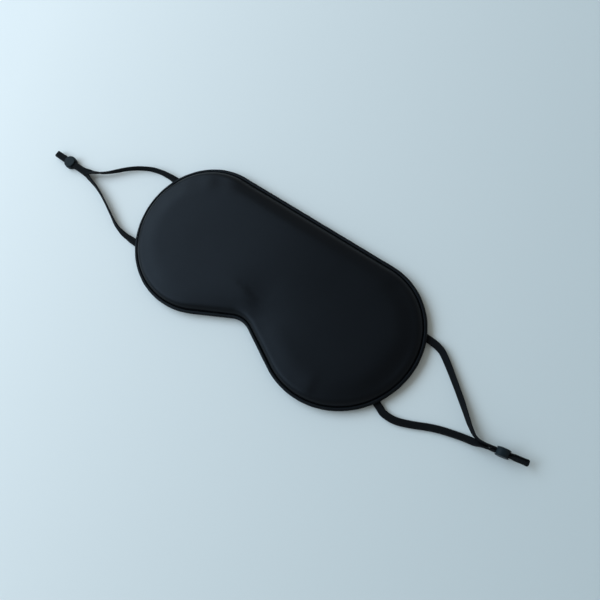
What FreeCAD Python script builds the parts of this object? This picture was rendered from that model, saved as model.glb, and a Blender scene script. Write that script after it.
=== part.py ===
# Padded sleep mask with a piped edge and two adjustable ear loops. Lengths are in millimetres.
# +X runs along the mask, +Y goes to the forehead edge and +Z comes out of the front face.
# The origin is the middle of the back panel's flat face, which the mask rests on.
import FreeCAD, Part
import math
import os
from collections import namedtuple

from FreeCAD import Rotation, Vector

# Outline of the mask, out to the edge of its piping.
MASK_WIDTH = 205.0
MASK_DEPTH = 95.2
WIDEST_LINE_Y = 2.4
NOTCH_DEPTH = 18.6
NOTCH_RADIUS = 14.3

# Piping: a bias tape folded round a cord, with its two edges sewn into the seam.
PIPING_DIAMETER = 2.4
PIPING_CORD_DIAMETER = 1.5
PIPING_CORD_CLEARANCE = 0.05
BIAS_TAPE = 0.3
FLANGE = 2.0 * BIAS_TAPE
BEAD_SIDES = 12
CORD_SIDES = 8

# Panels: crowned fabric shells, whose turned-in edges lie on each side of the piping's flange.
FABRIC = 0.8
PANEL_GAP = 0.1
PANEL_EDGE = PIPING_DIAMETER + PANEL_GAP
SEAM_ALLOWANCE = 5.0
BACK_HEIGHT = 2.4
BACK_CROWN = 7.0
FRONT_HEIGHT = 6.5
FRONT_CROWN = 16.0
FRONT_BASE = BACK_HEIGHT + FLANGE
FRONT_TOP = FRONT_BASE + FRONT_HEIGHT

# Filling: foam on the skin side, an opaque lining on it, and wadding under the front panel.
FOAM = 4.0
LINING = 0.4
FILLING_CLEARANCE = 0.3
FILLING_INSET = PANEL_EDGE + max(SEAM_ALLOWANCE, BACK_CROWN) + FILLING_CLEARANCE

# Ear loops: flat elastic, sewn in at both ends and doubled through a stopper.
BAND_WIDTH = 4.4
BAND_THICKNESS = 1.3
BAND_GAP = 0.6
BAND_SPACING = BAND_THICKNESS + BAND_GAP
BAND_CLEARANCE = 0.15
UPPER_END_Y = 22.5
LOWER_END_Y = -26.0
END_TRIM = 0.5
END_LEVEL = BACK_HEIGHT - BAND_THICKNESS / 2.0

# The loops swing about a line beside the mask, which stays clear of the sewn ends.
HINGE_INSET = 1.5
HINGE_X = MASK_WIDTH / 2.0 - HINGE_INSET
HINGE_CLEARANCE = 0.3
TWIST_STEP = 15.0

# Stoppers: silicone discs, slotted across for the two strands.
STOPPER_DIAMETER = 8.5
STOPPER_THICKNESS = 4.8
STOPPER_BULGE = 1.1

# Straight doubled stretch of each loop: how far out and where in Y its stopper is, which way it heads
# in degrees, and how far before and after the stopper it starts and ends.
LEFT_STOPPER_OUT = 74.5
LEFT_STOPPER_Y = -6.1
LEFT_HEADING = 0.0
LEFT_SPLIT = -17.0
LEFT_TAIL = 14.4
RIGHT_STOPPER_OUT = 64.5
RIGHT_STOPPER_Y = -7.0
RIGHT_HEADING = 11.6
RIGHT_SPLIT = -12.5
RIGHT_TAIL = 14.0

# The left stopper lies flat and the right one stands on its rim.
LEFT_STOPPER = Vector(LEFT_STOPPER_OUT, LEFT_STOPPER_Y, STOPPER_THICKNESS / 2.0)
RIGHT_STOPPER = Vector(RIGHT_STOPPER_OUT, RIGHT_STOPPER_Y, STOPPER_DIAMETER / 2.0)

# Routes of the free strands, from the sewn end to the doubled stretch: distance out from the
# hinge line, Y, and height. The first point of each lies straight out from the sewn end.
LEFT_UPPER_STRAND = [
    (12.5, UPPER_END_Y, END_LEVEL),
    (30.0, 14.0, 2.3),
    (44.5, 0.7, 2.9),
    (52.5, -3.8, 3.2),
]
LEFT_LOWER_STRAND = [
    (10.0, LOWER_END_Y, END_LEVEL),
    (25.0, -18.0, 1.6),
    (42.0, -10.3, 1.5),
    (51.5, -7.6, 1.5),
]
RIGHT_UPPER_STRAND = [
    (8.0, UPPER_END_Y, END_LEVEL),
    (20.0, 13.2, 3.2),
    (33.5, 2.6, 3.6),
    (44.5, -6.6, 3.9),
]
RIGHT_LOWER_STRAND = [
    (10.0, LOWER_END_Y, END_LEVEL),
    (28.0, -16.6, 3.4),
    (42.0, -12.0, 3.9),
]

# A bend takes this share of the shorter run beside it, and a smaller turn, in radians, is no bend.
BEND_SHARE = 0.45
LEAST_TURN = 1e-4

UP = Vector(0.0, 0.0, 1.0)
ACROSS = Vector(0.0, 1.0, 0.0)
QUARTER_TURN = 90.0
HALF_TURN = 180.0

# The notch's rounding leaves at least this much of the room between the lobes to its straight flanks.
FLANK_SHARE = 0.02

Segment = namedtuple("Segment", "start end centre sweep inward")


def polar(centre, radius, angle):
    """Return the point at an angle, in degrees, on a circle in the XY plane."""
    turn = math.radians(angle)
    return centre + Vector(math.cos(turn), math.sin(turn), 0.0) * radius


def notch_rounding(lobe, lobe_radius, apex_y):
    """Return the radius of the notch's round apex, limited by the room that the two lobes leave for it."""
    drop = lobe.y - apex_y
    room = (lobe.x ** 2 + drop ** 2 - lobe_radius ** 2) / (2.0 * (lobe_radius - drop))
    return min(NOTCH_RADIUS, room * (1.0 - FLANK_SHARE))


def outline(inset):
    """Return the mask's outline, moved inwards, as line and arc segments taken counter-clockwise."""
    half_depth = MASK_DEPTH / 2.0
    shoulder_radius = half_depth - WIDEST_LINE_Y
    lobe_radius = half_depth + WIDEST_LINE_Y
    shoulder = Vector(MASK_WIDTH / 2.0 - shoulder_radius, WIDEST_LINE_Y, 0.0)
    lobe = Vector(MASK_WIDTH / 2.0 - lobe_radius, WIDEST_LINE_Y, 0.0)
    apex_y = NOTCH_DEPTH - half_depth
    notch_radius = notch_rounding(lobe, lobe_radius, apex_y)
    notch = Vector(0.0, apex_y - notch_radius, 0.0)

    # The flank is the line that touches the lobe and the notch's round apex from opposite sides.
    between = notch - lobe
    bearing = math.degrees(math.atan2(between.y, between.x))
    opening = math.degrees(math.acos((lobe_radius + notch_radius) / between.Length))
    flank = bearing + opening

    def arc(centre, radius, start, sweep, outward):
        grown = radius - inset * outward
        facing = start if outward < 0 else start + HALF_TURN
        first, last = polar(centre, grown, start), polar(centre, grown, start + sweep)
        return Segment(first, last, centre, sweep, facing)

    def mirrored(point):
        return Vector(-point.x, point.y, point.z)

    left_shoulder = arc(mirrored(shoulder), shoulder_radius, QUARTER_TURN, QUARTER_TURN, 1)
    left_lobe = arc(mirrored(lobe), lobe_radius, HALF_TURN, -flank, 1)
    notch_arc = arc(notch, notch_radius, -flank, HALF_TURN + 2.0 * flank, -1)
    right_lobe = arc(lobe, lobe_radius, flank, -flank, 1)
    right_shoulder = arc(shoulder, shoulder_radius, 0.0, QUARTER_TURN, 1)
    top = Segment(right_shoulder.end, left_shoulder.start, None, 0.0, -QUARTER_TURN)
    left_flank = Segment(left_lobe.end, notch_arc.start, None, 0.0, -flank)
    right_flank = Segment(notch_arc.end, right_lobe.start, None, 0.0, HALF_TURN + flank)
    return [top, left_shoulder, left_lobe, left_flank, notch_arc, right_flank, right_lobe, right_shoulder]


def outline_face(inset, height):
    """Return the flat face inside the outline, moved inwards, at a height."""
    edges = []
    for segment in outline(inset):
        if segment.centre is None:
            edges.append(Part.makeLine(segment.start, segment.end))
            continue
        radius = (segment.start - segment.centre).Length
        towards = segment.start - segment.centre
        angle = math.degrees(math.atan2(towards.y, towards.x)) + segment.sweep / 2.0
        middle = polar(segment.centre, radius, angle)
        edges.append(Part.Arc(segment.start, middle, segment.end).toShape())
    face = Part.Face(Part.Wire(edges))
    face.translate(UP * height)
    return face


def sheet(inset, height, thickness):
    """Return a flat sheet of the mask's shape, cut smaller by the inset."""
    return outline_face(inset, height).extrude(UP * thickness)


def rim(profile):
    """Sweep a face, drawn in the XZ plane with X as the distance inwards, along the whole outline."""
    pieces = []
    for segment in outline(0.0):
        section = profile.copy()
        section.rotate(Vector(), UP, segment.inward)
        section.translate(segment.start)
        if segment.centre is None:
            pieces.append(section.extrude(segment.end - segment.start))
        else:
            pieces.append(section.revolve(segment.centre, UP, segment.sweep))
    return pieces[0].fuse(pieces[1:]).removeSplitter()


def one_solid(shape):
    """Return the only solid of a shape."""
    if len(shape.Solids) != 1:
        raise ValueError("expected one solid, got {}".format(len(shape.Solids)))
    return shape.Solids[0]


def crown_arc(centre, radius, height, facing):
    """Return the arc from a height to the level top of a crown; facing is 1 upwards, -1 downwards."""
    reach = math.sqrt(radius ** 2 - (height - centre.z) ** 2)
    low = Vector(centre.x - reach, 0.0, height)
    top = centre + UP * (radius * facing)
    middle = centre + (low - centre + top - centre).normalize() * radius
    return Part.Arc(low, middle, top).toShape()


def crown_radius(width, height):
    """Return the radius of the arc that rises by the height over the width and ends level."""
    return (width ** 2 + height ** 2) / (2.0 * height)


def panel(base, height, crown, facing):
    """Return a crowned fabric shell with its edge turned in along the seam.

    It starts at the base level and swells by the height, upwards or downwards, over the crown's width.
    """
    radius = crown_radius(crown, height)
    level = base + height * facing
    centre = Vector(PANEL_EDGE + crown, 0.0, level - radius * facing)
    outer = crown_arc(centre, radius, base, facing)
    inner = crown_arc(centre, radius - FABRIC, base + FABRIC * facing, facing)
    outer_low, outer_top = outer.firstVertex().Point, outer.lastVertex().Point
    inner_low, inner_top = inner.firstVertex().Point, inner.lastVertex().Point
    turned_in = Vector(PANEL_EDGE + SEAM_ALLOWANCE, 0.0, base)
    turned_in_top = turned_in + UP * (FABRIC * facing)
    edges = [
        outer,
        Part.makeLine(outer_top, inner_top),
        inner,
        Part.makeLine(inner_low, turned_in_top),
        Part.makeLine(turned_in_top, turned_in),
        Part.makeLine(turned_in, outer_low),
    ]
    profile = Part.Face(Part.Wire(edges))
    middle = sheet(PANEL_EDGE + crown, min(level, level - FABRIC * facing), FABRIC)
    return one_solid(rim(profile).fuse(middle).removeSplitter())


def front_panel():
    """Return the satin front, which swells most."""
    return panel(FRONT_BASE, FRONT_HEIGHT, FRONT_CROWN, 1)


def back_panel():
    """Return the skin-side panel, slotted at the seam for the elastic's ends."""
    shell = panel(BACK_HEIGHT, BACK_HEIGHT, BACK_CROWN, -1)
    slots = [sewn_end(side, y, PANEL_GAP) for side in (-1, 1) for y in (UPPER_END_Y, LOWER_END_Y)]
    return one_solid(shell.cut(slots))


def foam_pad():
    """Return the foam on the skin side."""
    return sheet(FILLING_INSET, FABRIC, FOAM)


def blackout_lining():
    """Return the opaque lining that lies on the foam."""
    return sheet(FILLING_INSET, FABRIC + FOAM, LINING)


def front_wadding():
    """Return the soft filling between the lining and the front panel, clear of its crowned edge."""
    bottom = FABRIC + FOAM + LINING
    radius = crown_radius(FRONT_CROWN, FRONT_HEIGHT) - FABRIC
    centre = Vector(PANEL_EDGE + FRONT_CROWN + FILLING_CLEARANCE, 0.0, FRONT_TOP - FABRIC - radius)
    crown = crown_arc(centre, radius, bottom, 1)
    low, top = crown.firstVertex().Point, crown.lastVertex().Point
    corner = Vector(top.x, 0.0, bottom)
    edges = [crown, Part.makeLine(top, corner), Part.makeLine(corner, low)]
    profile = Part.Face(Part.Wire(edges))
    middle = sheet(centre.x, bottom, top.z - bottom)
    return one_solid(rim(profile).fuse(middle).removeSplitter())


def round_section(diameter, centre, sides):
    """Return a round face in the XZ plane, drawn with an even number of equal sides, corners outwards."""
    corners = []
    for i in range(sides):
        angle = 2.0 * math.pi * i / sides
        corners.append(centre + Vector(math.sin(angle), 0.0, math.cos(angle)) * (diameter / 2.0))
    return Part.Face(Part.makePolygon(corners + corners[:1]))


def bead_centre():
    """Return the middle of the piping's bead, which rests on the level of the flange's underside."""
    return Vector(PIPING_DIAMETER / 2.0, 0.0, BACK_HEIGHT + PIPING_DIAMETER / 2.0)


def piping_cover():
    """Return the bias tape: a bead round the cord, and the flange that is sewn into the seam."""
    centre = bead_centre()
    corners = [
        Vector(centre.x, 0.0, BACK_HEIGHT),
        Vector(centre.x, 0.0, FRONT_BASE),
        Vector(PANEL_EDGE + SEAM_ALLOWANCE, 0.0, FRONT_BASE),
        Vector(PANEL_EDGE + SEAM_ALLOWANCE, 0.0, BACK_HEIGHT),
    ]
    flange = Part.Face(Part.makePolygon(corners + corners[:1]))
    bore = round_section(PIPING_CORD_DIAMETER + 2.0 * PIPING_CORD_CLEARANCE, centre, CORD_SIDES)
    profile = round_section(PIPING_DIAMETER, centre, BEAD_SIDES).fuse(flange).removeSplitter().cut(bore)
    return one_solid(rim(profile))


def piping_cord():
    """Return the round cord inside the bias tape."""
    return one_solid(rim(round_section(PIPING_CORD_DIAMETER, bead_centre(), CORD_SIDES)))


def outline_x(y):
    """Return how far out the mask's round side reaches at a Y."""
    half_depth = MASK_DEPTH / 2.0
    radius = half_depth - WIDEST_LINE_Y if y > WIDEST_LINE_Y else half_depth + WIDEST_LINE_Y
    return MASK_WIDTH / 2.0 - radius + math.sqrt(radius ** 2 - (y - WIDEST_LINE_Y) ** 2)


def sewn_end(side, y, clearance=0.0):
    """Return an elastic's end, flat in the seam and round at its free tip; side is 1 on the right."""
    tuck = PANEL_EDGE + SEAM_ALLOWANCE - END_TRIM
    start = outline_x(y) - tuck
    tip = HINGE_X - BAND_THICKNESS - HINGE_CLEARANCE
    width = BAND_WIDTH + 2.0 * clearance
    thickness = BAND_THICKNESS + 2.0 * clearance
    corner = Vector(start - clearance, y - width / 2.0, END_LEVEL - thickness / 2.0)
    band = Part.makeBox(tip - corner.x, width, thickness, corner)
    band = band.fuse(Part.makeCylinder(thickness / 2.0, width, Vector(tip, corner.y, END_LEVEL), ACROSS))
    band = one_solid(band.removeSplitter())
    return band if side > 0 else one_solid(band.mirror(Vector(), Vector(1.0, 0.0, 0.0)))


def band_section(point, across, normal):
    """Return the band's rectangular wire at a point, wide along one vector and thin along the other."""
    half_width = across * (BAND_WIDTH / 2.0)
    half_thickness = normal * (BAND_THICKNESS / 2.0)
    corners = [
        point + half_width + half_thickness,
        point - half_width + half_thickness,
        point - half_width - half_thickness,
        point + half_width - half_thickness,
    ]
    return Part.makePolygon(corners + corners[:1])


def band_run(start, end, across, normal, twist):
    """Return a straight run of band and the section's two vectors at its end, turned by the twist."""
    steps = max(1, math.ceil(abs(twist) / TWIST_STEP))
    along = (end - start).normalize()
    turn = Rotation(along, twist / steps)
    pieces = []
    for step in range(steps):
        near = band_section(start + (end - start) * (step / steps), across, normal)
        if twist:
            across = turn.multVec(across)
            normal = turn.multVec(normal)
            far = band_section(start + (end - start) * ((step + 1) / steps), across, normal)
            pieces.append(Part.makeLoft([near, far], True, True))
        else:
            pieces.append(Part.Face(near).extrude(end - start))
    return pieces, across, normal


def levelling_twist(along, across):
    """Return the small twist about a run that lays the band's width along Y again."""
    angle = math.degrees(math.atan2(along.dot(across.cross(ACROSS)), across.dot(ACROSS)))
    return angle - HALF_TURN * round(angle / HALF_TURN)


def band_bend(point, before, after, across, normal):
    """Return the bend at a point of a route: its solid, radius, length, and the rotation that it makes."""
    cut = BEND_SHARE * min(before.Length, after.Length)
    along = Vector(before).normalize()
    axis = along.cross(after).normalize()
    turn = before.getAngle(after)
    radius = cut / math.tan(turn / 2.0)
    start = point - along * cut
    centre = start + axis.cross(along) * radius
    section = Part.Face(band_section(start, across, normal))
    solid = section.revolve(centre, axis, math.degrees(turn))
    return solid, radius, radius * turn, Rotation(axis, math.degrees(turn))


def band(name, route, twists):
    """Return a flat band along a route of straight runs joined by tangent arcs.

    It starts and ends level, with a round tip on the hinge line. Each run but the last is twisted by its
    own angle, and the last by what is left.
    """
    runs = [after - before for before, after in zip(route, route[1:])]
    bent = [before.getAngle(after) > LEAST_TURN for before, after in zip(runs, runs[1:])]
    cuts = [BEND_SHARE * min(runs[i].Length, runs[i + 1].Length) * bend for i, bend in enumerate(bent)]
    cuts = [0.0] + cuts + [0.0]
    across = ACROSS
    normal = runs[0].cross(across).normalize()
    pieces = []
    radii = []
    length = 0.0
    for i, run in enumerate(runs):
        along = Vector(run).normalize()
        last = i == len(runs) - 1
        twist = levelling_twist(along, across) if last else twists[i]
        start = route[i] + along * cuts[i]
        end = route[i + 1] - along * cuts[i + 1]
        straight, across, normal = band_run(start, end, across, normal, twist)
        pieces.extend(straight)
        length += (end - start).Length
        if not last and bent[i]:
            bend, radius, arc_length, rotation = band_bend(route[i + 1], run, runs[i + 1], across, normal)
            across = rotation.multVec(across)
            normal = rotation.multVec(normal)
            pieces.append(bend)
            radii.append(radius)
            length += arc_length
    for tip in (route[0], route[-1]):
        foot = tip - ACROSS * (BAND_WIDTH / 2.0)
        pieces.append(Part.makeCylinder(BAND_THICKNESS / 2.0, BAND_WIDTH, foot, ACROSS))
    solid = one_solid(pieces[0].fuse(pieces[1:]).removeSplitter())
    expected = length * BAND_WIDTH * BAND_THICKNESS
    print("{}: {:.1f} mm long, volume {:.1f}".format(name, length, solid.Volume))
    print("  section times length {:.1f}".format(expected))
    print("  bend radii " + ", ".join("{:.1f}".format(radius) for radius in radii))
    return solid


def outwards(side, point):
    """Return a place in the mask's frame from its distance out from the hinge line, Y and height."""
    return Vector(side * (HINGE_X + point[0]), point[1], point[2])


def loop_route(side, strands, place, heading, stack, reach):
    """Return a loop's whole route: down the upper strand, round its tail and back along the lower."""
    upper, lower = strands
    split, tail = reach
    along = polar(Vector(), 1.0, heading)
    offset = stack * (BAND_SPACING / 2.0)
    turn = tail - BAND_THICKNESS / 2.0
    doubled = [place + along * split + offset, place + along * turn + offset]
    doubled += [place + along * turn - offset, place + along * split - offset]
    route = [(0.0, UPPER_END_Y, END_LEVEL)] + upper + [tuple(point) for point in doubled]
    route += lower[::-1] + [(0.0, LOWER_END_Y, END_LEVEL)]
    return [outwards(side, point) for point in route]


def left_ear_loop():
    """Return the left loop, whose strands lie flat, one over the other, in the stopper."""
    strands = (LEFT_UPPER_STRAND, LEFT_LOWER_STRAND)
    route = loop_route(-1, strands, LEFT_STOPPER, LEFT_HEADING, UP, (LEFT_SPLIT, LEFT_TAIL))
    return band("left_ear_loop", route, [0.0] * (len(route) - 2))


def right_ear_loop():
    """Return the right loop, which twists to stand on its edge in the stopper."""
    strands = (RIGHT_UPPER_STRAND, RIGHT_LOWER_STRAND)
    beside = polar(Vector(), 1.0, RIGHT_HEADING + QUARTER_TURN)
    route = loop_route(1, strands, RIGHT_STOPPER, RIGHT_HEADING, beside, (RIGHT_SPLIT, RIGHT_TAIL))
    share = QUARTER_TURN / 2.0
    upper_twists = [0.0, share, share]
    lower_twists = [-share, -share]
    plain_runs = len(route) - 2 - len(upper_twists) - len(lower_twists)
    return band("right_ear_loop", route, upper_twists + [0.0] * plain_runs + lower_twists)


def stopper():
    """Return a stopper at the origin, with its slot along X and its flat sides facing up and down."""
    radius = STOPPER_DIAMETER / 2.0
    half = STOPPER_THICKNESS / 2.0
    axis_low, axis_high = Vector(0.0, 0.0, -half), Vector(0.0, 0.0, half)
    rim_low, rim_high = Vector(radius - STOPPER_BULGE, 0.0, -half), Vector(radius - STOPPER_BULGE, 0.0, half)
    edges = [
        Part.makeLine(axis_low, rim_low),
        Part.Arc(rim_low, Vector(radius, 0.0, 0.0), rim_high).toShape(),
        Part.makeLine(rim_high, axis_high),
        Part.makeLine(axis_high, axis_low),
    ]
    body = Part.Face(Part.Wire(edges)).revolve(Vector(), UP, 2.0 * HALF_TURN)
    width = BAND_WIDTH + 2.0 * BAND_CLEARANCE
    height = BAND_SPACING + BAND_THICKNESS + 2.0 * BAND_CLEARANCE
    corner = Vector(-STOPPER_DIAMETER, -width / 2.0, -height / 2.0)
    return one_solid(body.cut(Part.makeBox(2.0 * STOPPER_DIAMETER, width, height, corner)))


def left_stopper():
    """Return the left stopper, lying flat."""
    shape = stopper()
    shape.rotate(Vector(), UP, -LEFT_HEADING)
    shape.translate(outwards(-1, LEFT_STOPPER))
    return shape


def right_stopper():
    """Return the right stopper, standing on its rim."""
    shape = stopper()
    shape.rotate(Vector(), Vector(1.0, 0.0, 0.0), QUARTER_TURN)
    shape.rotate(Vector(), UP, RIGHT_HEADING)
    shape.translate(outwards(1, RIGHT_STOPPER))
    return shape


def sub_parts():
    """Return every sub-part's solid by its name."""
    solids = {
        "back_panel": back_panel(),
        "foam_pad": foam_pad(),
        "blackout_lining": blackout_lining(),
        "front_wadding": front_wadding(),
        "front_panel": front_panel(),
        "piping_cover": piping_cover(),
        "piping_cord": piping_cord(),
        "left_ear_loop": left_ear_loop(),
        "right_ear_loop": right_ear_loop(),
        "left_stopper": left_stopper(),
        "right_stopper": right_stopper(),
    }
    for side_name, side in (("left", -1), ("right", 1)):
        solids[side_name + "_upper_elastic_end"] = sewn_end(side, UPPER_END_Y)
        solids[side_name + "_lower_elastic_end"] = sewn_end(side, LOWER_END_Y)
    return solids


def main():
    """Write one STEP file for each sub-part."""
    os.makedirs("parts", exist_ok=True)
    for name, solid in sub_parts().items():
        if not solid.isValid():
            raise ValueError(name + " isn't a valid solid")
        solid.exportStep(os.path.join("parts", name + ".step"))
        print("{}: volume {:.1f}".format(name, solid.Volume))


if __name__ == "__main__":
    main()
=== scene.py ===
"""A padded sleep mask with a satin front, a piped edge and two adjustable ear loops, dressed for rendering.

Sizes are in millimetres, apart from the loops' routes and lengths and the studio, which are in metres. X runs
along the mask, Y goes to the forehead edge and Z comes out of the front. The mask rests on its skin side.
"""
import logging
import math
from collections.abc import Callable, Sequence
from dataclasses import dataclass
from enum import Enum

import bmesh
import bpy
import numpy as np
from mathutils import Euler, Matrix, Vector, geometry


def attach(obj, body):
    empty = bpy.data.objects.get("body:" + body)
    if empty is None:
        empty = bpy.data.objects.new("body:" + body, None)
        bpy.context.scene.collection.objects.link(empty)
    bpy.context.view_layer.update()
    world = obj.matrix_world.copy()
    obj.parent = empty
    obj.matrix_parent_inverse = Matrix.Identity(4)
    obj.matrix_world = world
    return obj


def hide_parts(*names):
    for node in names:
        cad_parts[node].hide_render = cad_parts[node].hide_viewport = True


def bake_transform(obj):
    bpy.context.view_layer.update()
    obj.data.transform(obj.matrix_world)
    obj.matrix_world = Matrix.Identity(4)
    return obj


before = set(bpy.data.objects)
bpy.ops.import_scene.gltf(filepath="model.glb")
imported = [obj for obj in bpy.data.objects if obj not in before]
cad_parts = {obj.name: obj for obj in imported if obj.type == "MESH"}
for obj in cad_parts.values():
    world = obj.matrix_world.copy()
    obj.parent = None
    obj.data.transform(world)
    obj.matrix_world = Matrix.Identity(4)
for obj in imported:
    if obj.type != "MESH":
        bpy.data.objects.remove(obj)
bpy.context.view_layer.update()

Array = np.ndarray
Piece = bpy.types.Object
Socket = bpy.types.NodeSocket
Tree = bpy.types.NodeTree
Place = tuple[float, float, float]
Shaper = Callable[[Array, Array], Array]

MM = 0.001
UP = np.array([0.0, 0.0, 1.0])
SHARP_EDGE = math.radians(50.0)


class Body(Enum):
    """The bodies that pieces ride on."""

    MASK = "mask"
    LEFT_LOOP = "left_loop"
    RIGHT_LOOP = "right_loop"
    LEFT_SLIDER = "left_slider"
    RIGHT_SLIDER = "right_slider"


class Slot(Enum):
    """The record's material slots."""

    SATIN = "front_satin"
    SKIN = "skin_fabric"
    TAPE = "bias_tape"
    CORD = "cotton_cord"
    FOAM = "foam"
    WADDING = "wadding"
    LINING = "lining"
    ELASTIC = "elastic"
    SILICONE = "silicone"


# ---------------------------------------------------------------------------------------- materials


def linear(code: str) -> tuple[float, float, float, float]:
    """Turn an sRGB hex value into the linear colour that a shader takes.

    Args:
        code: Six hex digits after a hash.

    Returns:
        Red, green, blue and alpha.
    """
    channels = [int(code[i : i + 2], 16) / 255.0 for i in (1, 3, 5)]
    lit = [c / 12.92 if c <= 0.04045 else ((c + 0.055) / 1.055) ** 2.4 for c in channels]
    return (*lit, 1.0)


def add_node(tree: Tree, kind: str, inputs: dict | None = None, **settings) -> bpy.types.Node:
    """Add a node with its settings and inputs.

    Args:
        tree: The tree that the node goes into.
        kind: The node's type.
        inputs: A value or a socket to link, for each input's name or number.
        settings: The node's own properties.

    Returns:
        The new node.
    """
    node = tree.nodes.new(kind)
    for name, value in settings.items():
        setattr(node, name, value)
    for name, value in (inputs or {}).items():
        if isinstance(value, Socket):
            tree.links.new(value, node.inputs[name])
        else:
            node.inputs[name].default_value = value
    return node


def calc(tree: Tree, operation: str, *values: float | Socket) -> Socket:
    """Return the result of a Math node on the given values."""
    return add_node(tree, "ShaderNodeMath", dict(enumerate(values)), operation=operation).outputs[0]


def mix(tree: Tree, share: Socket, first: Socket | Sequence[float], second: Sequence[float]) -> Socket:
    """Return the colour that lies between two at a share from 0 to 1."""
    return add_node(tree, "ShaderNodeMix", {0: share, 6: first, 7: second}, data_type="RGBA").outputs[2]


def noise(tree: Tree, place: Socket, size: float, detail: float, distortion: float = 0.0) -> Socket:
    """Return cloudy noise from 0 to 1, whose clouds are about a size across."""
    inputs = {"Vector": place, "Scale": 1.0 / size, "Detail": detail, "Distortion": distortion}
    return add_node(tree, "ShaderNodeTexNoise", inputs).outputs["Fac"]


def cells(tree: Tree, place: Socket, size: float, **settings: str) -> Socket:
    """Return how far a place is from the middle or the wall of its cell, for cells about a size across."""
    inputs = {"Vector": place, "Scale": 1.0 / size}
    return add_node(tree, "ShaderNodeTexVoronoi", inputs, **settings).outputs["Distance"]


def wave(tree: Tree, place: Socket, length: float) -> Socket:
    """Return a sine, from -1 to 1, that repeats after a length."""
    return calc(tree, "SINE", calc(tree, "MULTIPLY", place, math.tau / length))


def ramp(tree: Tree, place: Socket, direction: Place, start: float, end: float) -> Socket:
    """Measure how far a place lies along a direction.

    Args:
        tree: The tree that the nodes go into.
        place: The place.
        direction: The direction.
        start: Where the share is 0.
        end: Where it is 1.

    Returns:
        The share, which grows evenly between them.
    """
    along = add_node(tree, "ShaderNodeVectorMath", {0: place, 1: direction}, operation="DOT_PRODUCT")
    inputs = {"Value": along.outputs["Value"], "From Min": start, "From Max": end}
    return add_node(tree, "ShaderNodeMapRange", inputs).outputs[0]


@dataclass(frozen=True)
class Finish:
    """A surface: its colours, how rough it is, and the texture that stands on it.

    The colour drifts in soft patches towards a second one, and the texture's low parts are darkened by
    painted shade, as shade would fall in its hollows. Wear is how much the roughness drifts with the colour
    and falls on the texture's high parts.
    """

    name: str
    colour: str
    drift: str
    roughness: float
    wear: float = 0.06
    patch: float = 22.0
    relief: float = 0.05
    shade: float = 0.25
    sheen: float = 0.0
    sheen_roughness: float = 0.4
    specular: float = 0.5
    ior: float = 1.5
    tint: str = "#ffffff"
    coordinates: str = "Object"

    def texture(self, tree: Tree, place: Socket) -> Socket:
        """Return the texture's height, from 0 to 1, at a place in millimetres."""
        raise NotImplementedError

    def drift_share(self, tree: Tree, place: Socket) -> Socket:
        """Return how far the colour has drifted, from 0 to 1, at a place in millimetres."""
        return noise(tree, place, self.patch, 3.0)

    def material(self) -> bpy.types.Material:
        """Make the material the first time, and find it again after that.

        Returns:
            The material.
        """
        known = bpy.data.materials.get(self.name)
        if known:
            return known
        material = bpy.data.materials.new(self.name)
        material.use_nodes = True
        tree = material.node_tree
        tree.nodes.clear()
        metres = add_node(tree, "ShaderNodeTexCoord").outputs[self.coordinates]
        place = add_node(tree, "ShaderNodeVectorMath", {0: metres, 1: (1.0 / MM,) * 3}, operation="MULTIPLY")
        place = place.outputs[0]
        share = self.drift_share(tree, place)
        height = self.texture(tree, place)
        drifted = mix(tree, share, linear(self.colour), linear(self.drift))
        # Painted shade: the texture's low parts are mixed towards black, as its hollows would be in shade.
        depth = calc(tree, "MULTIPLY", calc(tree, "SUBTRACT", 1.0, height), self.shade)
        shaded = mix(tree, depth, drifted, linear("#000000"))
        spread = calc(tree, "MULTIPLY_ADD", share, 2.0 * self.wear, self.roughness - self.wear)
        rough = calc(tree, "MULTIPLY_ADD", height, -self.wear, spread)
        raised = {"Height": height, "Distance": self.relief * MM, "Strength": 1.0}
        bump = add_node(tree, "ShaderNodeBump", raised)
        surface = add_node(
            tree,
            "ShaderNodeBsdfPrincipled",
            {
                "Base Color": shaded,
                "Roughness": rough,
                "Normal": bump.outputs[0],
                "IOR": self.ior,
                "Specular IOR Level": self.specular,
                "Specular Tint": linear(self.tint),
                "Sheen Weight": self.sheen,
                "Sheen Roughness": self.sheen_roughness,
            },
        )
        add_node(tree, "ShaderNodeOutputMaterial", {"Surface": surface.outputs[0]})
        return material


@dataclass(frozen=True)
class Satin(Finish):
    """Woven satin: long floats side by side, which slide light along them.

    Real floats are 0.1 mm wide. They are drawn coarser, or they wouldn't show. Streak and rib are how much
    each counts in the texture's height, on top of its low.
    """

    thread: float = 0.5
    float_length: float = 4.0
    turn: float = 0.0
    streak: float = 0.9
    low: float = 0.05
    rib: float = 0.15

    def texture(self, tree: Tree, place: Socket) -> Socket:
        """Lay streaks as long as a float, with a fine rib between the threads.

        Args:
            tree: The tree that the nodes go into.
            place: The place, in millimetres.

        Returns:
            The texture's height.
        """
        across, along = 1.0 / self.thread, 1.0 / self.float_length
        angles = (0.0, 0.0, math.radians(self.turn))
        inputs = {"Vector": place, "Rotation": angles, "Scale": (across, along, across)}
        turned = add_node(tree, "ShaderNodeMapping", inputs).outputs[0]
        streaks = calc(tree, "MULTIPLY_ADD", noise(tree, turned, 1.0, 2.0), self.streak, self.low)
        side = add_node(tree, "ShaderNodeSeparateXYZ", {0: turned}).outputs[0]
        return calc(tree, "MULTIPLY_ADD", wave(tree, side, 1.0), self.rib, streaks)


@dataclass(frozen=True)
class BrushedKnit(Finish):
    """Brushed knit: short fibres that stand up in small tufts and take the light softly."""

    tuft: float = 0.9
    tuft_height: float = 0.5
    fibre: float = 0.18

    def texture(self, tree: Tree, place: Socket) -> Socket:
        """Return tufts of fibre with finer fibre on them."""
        tufts, fibres = cells(tree, place, self.tuft), noise(tree, place, self.fibre, 3.0)
        return calc(tree, "MULTIPLY_ADD", tufts, -self.tuft_height, fibres)


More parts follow.
